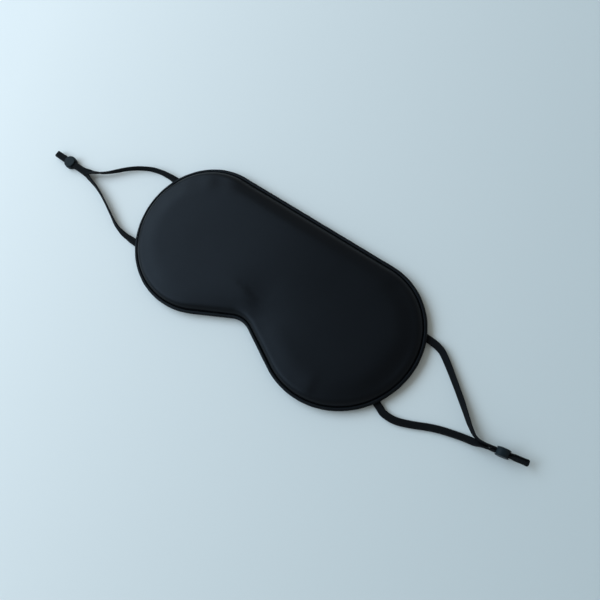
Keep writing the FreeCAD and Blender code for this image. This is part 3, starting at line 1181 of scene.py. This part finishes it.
@dataclass(frozen=True)
class Piping:
    """The bias tape round the mask's edge, the cord in it, and the stitches that hold it."""

    outline: Outline = Outline()
    diameter: float = 2.4
    bore: float = 1.6
    cord: float = 1.5
    cord_twist: float = 5.0
    cord_hollow: float = 0.16
    flange: float = 0.56
    flange_inset: float = 7.5
    bottom: float = 2.4
    unevenness: float = 0.035
    wanders: tuple[float, float] = (37.0, 61.0)
    sides: int = 30
    stitch_pitch: float = 2.6
    stitch_length: float = 1.9
    thread: float = 0.32
    wobble: Place = (0.05, 0.12, 0.07)
    wobble_seed: int = 7
    seam_rows: tuple[tuple[str, float, float], ...] = (
        ("front_stitches", 2.46, 3.98),
        ("back_stitches", 2.2, 2.36),
    )

    def round_points(self, reach: Array | float, angles: Array) -> Array:
        """Set points round the bead's middle.

        Args:
            reach: How far from the middle they are.
            angles: The direction of each.

        Returns:
            Their insets and levels.
        """
        middle = self.diameter / 2.0
        levels = self.bottom + middle + reach * np.sin(angles)
        return np.column_stack([middle + reach * np.cos(angles), levels])

    def sweep(self, section: Callable[[float], Array]) -> Array:
        """Return a section swept round the edge.

        Args:
            section: Returns the section's insets and levels at a place along the edge, as an angle.

        Returns:
            The section's points at each of the edge's points.
        """
        points, inwards = self.outline.samples()
        turns = math.tau * self.outline.lengths() / self.outline.whole_length()
        rings = []
        for place, inward, turn in zip(points, inwards, turns):
            here = section(turn)
            rings.append(np.column_stack([place + here[:, :1] * inward, here[:, 1]]))
        return np.array(rings)

    def tape(self) -> None:
        """Make the tape: a hollow bead, and the flange that goes into the seam."""
        open_bead = np.radians(np.linspace(-30.0, 270.0, self.sides))
        levels = (self.bottom + 0.02, self.bottom + self.flange)
        flange = [(self.flange_inset, level) for level in levels]

        def section(turn: float) -> Array:
            """Draw the tape's section, whose bead is a little uneven.

            Args:
                turn: The place along the edge, as an angle.

            Returns:
                The section's insets and levels.
            """
            slow, fast = self.wanders
            swing = (math.sin(slow * turn) + math.sin(fast * turn + 1.0)) / 2.0
            reach = self.diameter / 2.0 * (1.0 + self.unevenness * swing)
            return np.vstack([self.round_points(reach, open_bead), flange])

        outer = tube("piping", self.sweep(section), closed=True)
        bore = self.round_points(self.bore / 2.0, np.linspace(0.0, math.tau, 12, endpoint=False))
        inner = tube("piping_bore", self.sweep(lambda _: bore), closed=True, inside_out=True)
        joined = bmesh.new()
        joined.from_mesh(outer.data)
        joined.from_mesh(inner.data)
        joined.to_mesh(outer.data)
        joined.free()
        bpy.data.objects.remove(inner)
        dress(outer, TAPE_SATIN, Slot.TAPE, Body.MASK, "piping_cover")

    def core(self) -> None:
        """Make the twisted cotton cord inside the tape."""
        twists = round(self.outline.whole_length() / self.cord_twist)
        angles = np.linspace(0.0, math.tau, 18, endpoint=False)

        def section(turn: float) -> Array:
            """Return the cord's three strands, turned by the twist."""
            strands = np.abs(np.cos(1.5 * (angles - twists * turn / 3.0)))
            return self.round_points(self.cord / 2.0 * (1.0 - self.cord_hollow * (1.0 - strands)), angles)

        cord = tube("piping_core", self.sweep(section), closed=True)
        dress(cord, COTTON, Slot.CORD, Body.MASK, "piping_cord")

    def stitch_tree(self) -> Tree:
        """Make the nodes that lay a thread along each stitch of a seam line.

        Returns:
            Their tree.
        """
        tree = bpy.data.node_groups.new("seam_stitches", "GeometryNodeTree")

        def step(kind: str, inputs: dict | None = None, **settings) -> Socket:
            """Return the first result of a node added to the tree."""
            return add_node(tree, kind, inputs, **settings).outputs[0]

        sizes = dict.fromkeys(("Pitch", "Stitch Length", "Thread Diameter"), "Float")
        for name, kind in {"Geometry": "Geometry", **sizes, "Thread": "Material"}.items():
            tree.interface.new_socket(name, in_out="INPUT", socket_type="NodeSocket" + kind)
        tree.interface.new_socket("Geometry", in_out="OUTPUT", socket_type="NodeSocketGeometry")
        given = add_node(tree, "NodeGroupInput").outputs
        length, diameter = given["Stitch Length"], given["Thread Diameter"]
        line = step("GeometryNodeMeshToCurve", {"Mesh": given["Geometry"]})
        spaced = step("GeometryNodeResampleCurve", {"Curve": line, "Length": given["Pitch"]}, mode="LENGTH")
        along = step("GeometryNodeInputTangent")
        facing = step("FunctionNodeAlignRotationToVector", {"Vector": along}, axis="X")
        limits = {0: tuple(-angle for angle in self.wobble), 1: self.wobble, "Seed": self.wobble_seed}
        wobble = step("FunctionNodeRandomValue", limits, data_type="FLOAT_VECTOR")
        tilt = step("FunctionNodeEulerToRotation", {0: wobble})
        turns = {"Rotation": facing, "Rotate By": tilt}
        turned = step("FunctionNodeRotateRotation", turns, rotation_space="LOCAL")
        size = step("ShaderNodeCombineXYZ", {"X": length, "Y": diameter, "Z": diameter})
        thread = step("GeometryNodeMeshUVSphere", {"Segments": 8, "Rings": 6, "Radius": 0.5})
        laid = {"Points": spaced, "Instance": thread, "Rotation": turned, "Scale": size}
        stitches = step("GeometryNodeInstanceOnPoints", laid)
        real = step("GeometryNodeRealizeInstances", {0: stitches})
        smooth = step("GeometryNodeSetShadeSmooth", {0: real})
        painted = step("GeometryNodeSetMaterial", {"Geometry": smooth, "Material": given["Thread"]})
        add_node(tree, "NodeGroupOutput", {0: painted})
        return tree

    def stitches(self) -> None:
        """Sew the piping in: one row of stitches beside the bead in front, and one behind."""
        tree = self.stitch_tree()
        values = {
            "Pitch": self.stitch_pitch * MM,
            "Stitch Length": self.stitch_length * MM,
            "Thread Diameter": self.thread * MM,
            "Thread": THREAD.material(),
        }
        for name, inset, level in self.seam_rows:
            points = self.outline.ring(inset, level) * MM
            mesh = bpy.data.meshes.new(name + "_line")
            count = len(points)
            mesh.from_pydata(points.tolist(), [(i, (i + 1) % count) for i in range(count)], [])
            line = add_object(name + "_line", mesh)
            sewing = line.modifiers.new("stitches", "NODES")
            sewing.node_group = tree
            for item in tree.interface.items_tree:
                if item.in_out == "INPUT" and item.name in values:
                    sewing[item.identifier] = values[item.name]
            dress(baked(line, name), THREAD, Slot.TAPE, Body.MASK)


# ---------------------------------------------------------------------------------------- ear loops


@dataclass(frozen=True)
class Elastic:
    """Flat knitted elastic: lengthwise ribs on both faces, and round edges."""

    width: float = 4.4
    thickness: float = 1.3
    ribs: int = 5
    rib_depth: float = 0.16
    points_per_rib: int = 4
    edge_points: int = 4
    edge_share: float = 0.8
    crest: float = 0.7

    def section(self) -> Array:
        """Draw the band's section.

        Returns:
            Its points: across the band, and through its thickness.
        """
        half = self.thickness / 2.0
        flat = self.width / 2.0 - half * self.edge_share
        count = self.ribs * self.points_per_rib
        across = np.linspace(-flat, flat, count + 1)
        crest = np.abs(np.sin(math.pi * np.linspace(0.0, self.ribs, count + 1)))
        through = half - self.rib_depth * (1.0 - crest**self.crest)
        face = np.column_stack([across, through])
        angles = np.linspace(math.pi / 2.0, -math.pi / 2.0, self.edge_points + 2)[1:-1]
        low = half - self.rib_depth
        edge = np.column_stack([flat + (self.width / 2.0 - flat) * np.cos(angles), low * np.sin(angles)])
        return np.vstack([face, edge, -face, -edge])


@dataclass(frozen=True)
class Lean:
    """How far a band has turned about its own line at a distance along it, from lying flat."""

    at: float
    degrees: float


def spline_points(name: str, route: Sequence[Place], fineness: int) -> Array:
    """Read the points of a smooth line.

    Args:
        name: The line's name.
        route: Its control points, in metres.
        fineness: How many points it has for each control point.

    Returns:
        Its points, in millimetres.
    """
    curve = bpy.data.curves.new(name, "CURVE")
    curve.dimensions = "3D"
    spline = curve.splines.new("NURBS")
    spline.points.add(len(route) - 1)
    for point, place in zip(spline.points, route):
        point.co = (*place, 1.0)
    spline.order_u = 3
    spline.use_endpoint_u = True
    spline.resolution_u = fineness
    carrier = bpy.data.objects.new(name, curve)
    mesh = bpy.data.meshes.new_from_object(carrier)
    points = places(mesh)
    bpy.data.meshes.remove(mesh)
    bpy.data.curves.remove(curve)
    return points


@dataclass(frozen=True)
class EarLoop:
    """One loop of elastic: sewn in above and below, and doubled through its stopper."""

    side: str
    loop: Body
    route: tuple[Place, ...]
    leans: tuple[Lean, ...]
    length: float
    elastic: Elastic = Elastic()
    outline: Outline = Outline()
    tuck: float = 7.0
    slants: tuple[float, float] = (0.0, 0.0)
    bend_start: float = 1.4
    bend_end: float = 2.5
    tuck_steps: int = 8
    fineness: int = 16

    def line(self) -> tuple[Array, Array]:
        """Draw the elastic's whole line, from one sewn end to the other.

        Returns:
            Its points, and the distance along it, which is zero at the first hinge and negative in the seam.
        """
        free = spline_points(self.side + "_route", self.route, self.fineness)
        ends = []
        for hinge, slant in zip((free[0], free[-1]), self.slants):
            inner = math.copysign(self.outline.side_x(hinge[1]) - self.tuck, hinge[0])
            steps = np.linspace(inner, hinge[0], self.tuck_steps + 1)[:-1]
            ends.append(np.array([[x, hinge[1] + slant * abs(x - hinge[0]), hinge[2]] for x in steps]))
        line = np.vstack([ends[0], free, ends[1][::-1]])
        along = distances(line)
        return line, along - along[len(ends[0])]

    def rings(self, line: Array, along: Array) -> Array:
        """Lay the band's sections along its line.

        The leans are taken from a level line across the band, and the band turns smoothly between them.

        Args:
            line: The line's points.
            along: How far along it each is.

        Returns:
            The points of each section.
        """
        tangents = np.gradient(line, axis=0)
        tangents /= np.linalg.norm(tangents, axis=1, keepdims=True)
        carried = [np.array([0.0, 1.0, 0.0])]
        for tangent in tangents[1:]:
            across = carried[-1] - tangent * (carried[-1] @ tangent)
            carried.append(across / np.linalg.norm(across))
        across = np.array(carried)
        through = np.cross(tangents, across)
        turned = np.zeros(len(along))
        before: tuple[float, float] | None = None
        for lean in self.leans:
            at = int(np.clip(np.searchsorted(along, lean.at), 0, len(along) - 1))
            level = np.cross(UP, tangents[at])
            level /= np.linalg.norm(level)
            angle = math.radians(lean.degrees)
            wide = level * math.cos(angle) + np.cross(tangents[at], level) * math.sin(angle)
            turn = math.atan2(wide @ through[at], wide @ across[at])
            if before is None:
                turned += turn
            else:
                turn += math.pi * round((before[1] - turn) / math.pi)
                share = np.clip((along - before[0]) / (lean.at - before[0]), 0.0, 1.0)
                turned += (turn - before[1]) * eased(share)
            before = (lean.at, turn)
        wide = across * np.cos(turned)[:, None] + through * np.sin(turned)[:, None]
        thin = through * np.cos(turned)[:, None] - across * np.sin(turned)[:, None]
        section = self.elastic.section()
        return (
            line[:, None, :]
            + wide[:, None, :] * section[None, :, :1]
            + thin[:, None, :] * section[None, :, 1:]
        )

    def build(self, stopper: Piece) -> None:
        """Make the loop and its two sewn ends.

        Args:
            stopper: The stopper's piece. Not used.
        """
        line, along = self.line()
        rings = self.rings(line, along)
        last = along[len(line) - 1 - self.tuck_steps]
        first = int(np.searchsorted(along, self.bend_end))
        final = int(np.searchsorted(along, last - self.bend_end, side="right")) - 1
        logging.info("%s loop: %.1f mm long, lowest %.2f mm", self.side, last, rings[:, :, 2].min())
        band = tube(self.side + "_band", rings[first : final + 1], closed=False, start=along[first])
        dress(band, ELASTIC, Slot.ELASTIC, self.loop, self.side + "_ear_loop")
        for name, part, hinge in (
            ("upper", slice(0, first + 1), self.route[0]),
            ("lower", slice(final, len(line)), self.route[-1]),
        ):
            side_name = self.side + "_" + name
            piece = tube(side_name + "_end", rings[part], closed=False, start=along[part.start])
            dress(piece, ELASTIC, Slot.ELASTIC, None, side_name + "_elastic_end")
            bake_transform(piece)


@dataclass(frozen=True)
class Stopper:
    """A soft silicone disc with a slot through it for two strands."""

    name: str
    body: Body
    node: str
    place: Place
    heading: float = 0.0
    on_rim: bool = False
    diameter: float = 8.5
    thickness: float = 4.7
    bulge: float = 0.35
    edge_round: float = 0.35
    edge_start: float = 0.9
    slot_width: float = 4.7
    slot_height: float = 3.4
    slot_corner: float = 0.35
    flare: float = 0.35
    flare_start: float = 0.72
    flare_height: float = 0.3
    sides: int = 72
    layers: int = 41
    slot_steps: int = 33
    voxel: float = 0.12
    smoothing: int = 5

    def disc(self) -> Piece:
        """Stack rings into a disc with a round rim.

        Returns:
            The disc, without its slot.
        """
        rings = []
        angles = np.linspace(0.0, math.tau, self.sides, endpoint=False)
        for share in np.linspace(-1.0, 1.0, self.layers):
            into_edge = max(0.0, abs(share) - self.edge_start) / (1.0 - self.edge_start)
            reach = self.diameter / 2.0 - self.bulge * share**2 - self.edge_round * into_edge
            level = np.full(len(angles), share * self.thickness / 2.0)
            rings.append(np.column_stack([reach * np.cos(angles), reach * np.sin(angles), level]))
        return tube(self.name, np.array(rings), closed=False)

    def cutter(self) -> Piece:
        """Make the slot's shape, which flares at its mouths.

        Returns:
            The shape, for cutting.
        """
        rings = []
        half, corner = self.diameter / 2.0, self.slot_corner
        arc = np.radians(np.linspace(0.0, 90.0, 5))
        rounded = corner * np.column_stack([np.cos(arc), np.sin(arc)]) - corner
        for x in np.linspace(-self.diameter, self.diameter, self.slot_steps):
            flare = self.flare * max(0.0, abs(x) / half - self.flare_start) / (1.0 - self.flare_start)
            wide, high = self.slot_width / 2.0 + flare, self.slot_height / 2.0 + min(flare, self.flare_height)
            quarter = rounded + (wide, high)
            section = [quarter, (quarter * (-1, 1))[::-1], quarter * (-1, -1), (quarter * (1, -1))[::-1]]
            flat = np.vstack(section)
            rings.append(np.column_stack([np.full(len(flat), x), flat]))
        return tube(self.name + "_slot", np.array(rings), closed=False)

    def build(self) -> Piece:
        """Make the stopper and put it on its strands.

        Returns:
            The stopper.
        """
        disc, cutter = self.disc(), self.cutter()
        slot = disc.modifiers.new("slot", "BOOLEAN")
        slot.operation, slot.object, slot.solver = "DIFFERENCE", cutter, "EXACT"
        soft = disc.modifiers.new("soft_edges", "REMESH")
        soft.mode, soft.voxel_size, soft.use_smooth_shade = "VOXEL", self.voxel * MM, True
        smooth = disc.modifiers.new("smooth", "SMOOTH")
        smooth.factor, smooth.iterations = 0.5, self.smoothing
        piece = baked(disc, self.name)
        bpy.data.objects.remove(cutter)
        turn = Matrix.Rotation(math.radians(90.0), 4, "X") if self.on_rim else Matrix.Identity(4)
        turn = Matrix.Rotation(math.radians(self.heading), 4, "Z") @ turn
        piece.data.transform(Matrix.Translation(Vector(self.place) * MM) @ turn)
        return dress(piece, SILICONE, Slot.SILICONE, self.body, self.node)


# ------------------------------------------------------------------------------------------- studio


@dataclass(frozen=True)
class Studio:
    """The camera, the window's light, the room around and the floor."""

    camera_place: Place = (0.2020, -0.0542, 0.4370)
    camera_turn: Place = (18.87, 14.22, 37.13)
    sensor: float = 36.0
    lens: float = 48.0
    floor_size: float = 6.0
    floor_level: float = -0.0001
    window_towards: Place = (-0.69, -0.22, 0.69)
    window_distance: float = 1.6
    window_size: tuple[float, float] = (2.5, 1.2)
    window_power: float = 29.0
    window_colour: str = "#dff1ff"
    wall_side: Place = (-0.88, -0.40, 0.0)
    wall_edges: tuple[float, float] = (0.26, 0.62)
    wall_colour: str = "#d5f1ff"
    wall_level: float = 0.25
    room_colour: str = "#f4f5ec"
    room_level: float = 0.74
    ceiling_loss: float = 0.4
    backdrop: str = "#c6d5db"

    def camera(self) -> None:
        """Set the camera up."""
        data = bpy.data.cameras.new("camera")
        data.sensor_width, data.lens = self.sensor, self.lens
        data.clip_start, data.clip_end = 0.01, 20.0
        camera = add_object("camera", data)
        camera.location = self.camera_place
        camera.rotation_euler = Euler([math.radians(angle) for angle in self.camera_turn], "XYZ")
        bpy.context.scene.camera = camera

    def window(self) -> None:
        """Set up one large, wide, soft light, up to the left."""
        data = bpy.data.lights.new("window", "AREA")
        data.shape, data.energy = "ELLIPSE", self.window_power
        data.size, data.size_y = self.window_size
        data.color = linear(self.window_colour)[:3]
        window = add_object("window", data)
        towards = Vector(self.window_towards).normalized()
        window.location = towards * self.window_distance
        window.rotation_euler = towards.to_track_quat("Z", "Y").to_euler()

    def room(self) -> None:
        """Surround the mask with a room: a brighter, cooler wall to the left, and a darker ceiling."""
        world = bpy.data.worlds.new("room")
        bpy.context.scene.world = world
        world.use_nodes = True
        tree = world.node_tree
        tree.nodes.clear()
        towards = add_node(tree, "ShaderNodeTexCoord").outputs["Generated"]
        wall = ramp(tree, towards, self.wall_side, *self.wall_edges)
        upwards = add_node(tree, "ShaderNodeSeparateXYZ", {0: towards}).outputs[2]
        level = calc(tree, "MULTIPLY_ADD", upwards, -self.ceiling_loss, self.room_level)
        level = calc(tree, "MULTIPLY_ADD", wall, self.wall_level, level)
        colour = mix(tree, wall, linear(self.room_colour), linear(self.wall_colour))
        seen = add_node(tree, "ShaderNodeLightPath").outputs["Is Camera Ray"]
        around = add_node(tree, "ShaderNodeBackground", {"Color": colour, "Strength": level})
        behind = add_node(tree, "ShaderNodeBackground", {"Color": linear(self.backdrop), "Strength": 1.0})
        mixed = add_node(tree, "ShaderNodeMixShader", {0: seen, 1: around.outputs[0], 2: behind.outputs[0]})
        add_node(tree, "ShaderNodeOutputWorld", {0: mixed.outputs[0]})

    def floor(self) -> None:
        """Lay the floor."""
        half = self.floor_size / 2.0
        corners = [(-half, -half), (half, -half), (half, half), (-half, half)]
        mesh = bpy.data.meshes.new("floor")
        mesh.from_pydata([(x, y, self.floor_level) for x, y in corners], [], [(0, 1, 2, 3)])
        mesh.materials.append(BOARD.material())
        add_object("floor", mesh)


# Each loop runs from its upper hinge to its stopper, doubles back at the tail and ends at its lower hinge.
LEFT_LOOP = EarLoop(
    side="left",
    loop=Body.LEFT_LOOP,
    route=(
        (-0.101, 0.0225, 0.00175), (-0.1135, 0.0228, 0.0021), (-0.131, 0.0148, 0.0027),
        (-0.1455, 0.0013, 0.0031), (-0.1535, -0.0031, 0.0037), (-0.1595, -0.0056, 0.0036),
        (-0.1625, -0.0061, 0.00335), (-0.169, -0.0061, 0.00335), (-0.18725, -0.0061, 0.00335),
        (-0.18925, -0.0061, 0.00335), (-0.18925, -0.0061, 0.00145), (-0.18725, -0.0061, 0.00145),
        (-0.169, -0.0061, 0.00145), (-0.1625, -0.0061, 0.00145), (-0.1592, -0.0068, 0.0016),
        (-0.1545, -0.0083, 0.0022), (-0.143, -0.0108, 0.0027), (-0.126, -0.0184, 0.0027),
        (-0.111, -0.026, 0.0021), (-0.101, -0.026, 0.00175),
    ),
    leans=(
        Lean(-3.0, 180.0), Lean(4.0, 133.0), Lean(14.0, 114.0), Lean(24.0, 100.0),
        Lean(41.0, 88.0), Lean(54.0, 73.0), Lean(60.0, 50.0), Lean(67.0, 0.0),
        Lean(122.5, 0.0), Lean(129.0, 48.0), Lean(134.0, 64.0), Lean(139.0, 70.0),
        Lean(152.0, 75.0), Lean(166.0, 71.0), Lean(177.0, 60.0), Lean(187.0, 42.0),
        Lean(195.0, 0.0),
    ),
    length=0.190,
)

RIGHT_LOOP = EarLoop(
    side="right",
    loop=Body.RIGHT_LOOP,
    route=(
        (0.101, 0.0227, 0.00175), (0.1066, 0.0222, 0.0020), (0.1120, 0.0192, 0.0019),
        (0.1210, 0.0128, 0.0019), (0.1345, 0.0027, 0.0024), (0.1445, -0.0055, 0.0033),
        (0.1503, -0.0088, 0.0042), (0.1552, -0.0087, 0.00425), (0.1611, -0.00736, 0.00425),
        (0.16985, -0.00555, 0.00425), (0.17194, -0.00530, 0.00404), (0.17742, -0.00416, 0.00404),
        (0.17861, -0.00375, 0.00399), (0.17894, -0.00534, 0.00451), (0.17768, -0.00543, 0.00446),
        (0.17219, -0.00655, 0.00446), (0.17015, -0.0071, 0.00425), (0.1615, -0.0089, 0.00425),
        (0.1552, -0.0103, 0.0042), (0.1502, -0.0110, 0.0030), (0.1430, -0.0122, 0.0014),
        (0.1290, -0.0163, 0.0011), (0.1175, -0.0222, 0.0012), (0.1070, -0.0263, 0.0016),
        (0.101, -0.0256, 0.00175),
    ),
    leans=(
        Lean(-2.0, 0.0), Lean(8.0, 30.0), Lean(36.0, 44.0), Lean(48.0, 56.0),
        Lean(54.0, 68.0), Lean(60.5, 88.0), Lean(64.0, 90.0), Lean(78.9, 90.0),
        Lean(81.1, 72.0), Lean(87.1, 72.0), Lean(88.5, 90.0), Lean(89.9, 108.0),
        Lean(95.9, 108.0), Lean(98.1, 90.0), Lean(108.0, 90.0), Lean(111.5, 76.0),
        Lean(119.0, 18.0), Lean(148.0, 10.0), Lean(167.0, 0.0),
    ),
    slants=(0.06, 0.42),
    length=0.170,
)

LEFT_STOPPER = Stopper("left_slider_stopper", Body.LEFT_SLIDER, "left_stopper", (-175.5, -6.1, 2.4))
RIGHT_STOPPER = Stopper(
    "right_slider_stopper",
    Body.RIGHT_SLIDER,
    "right_stopper",
    (165.6, -7.25, 4.25),
    heading=11.6,
    on_rim=True,
    slot_height=3.6,
)


def main() -> None:
    """Build the scene: camera and loops first, then the padded body, and the light last."""
    logging.basicConfig(level=logging.INFO, format="%(message)s")
    bpy.context.scene.view_settings.view_transform = "Standard"
    studio = Studio()
    studio.camera()
    left_stopper, right_stopper = LEFT_STOPPER.build(), RIGHT_STOPPER.build()
    LEFT_LOOP.build(left_stopper)
    RIGHT_LOOP.build(right_stopper)
    mask = MaskBody()
    mask.covers()
    mask.filling()
    piping = Piping()
    piping.tape()
    piping.core()
    piping.stitches()
    studio.window()
    studio.room()
    studio.floor()


if __name__ == "__main__":
    main()
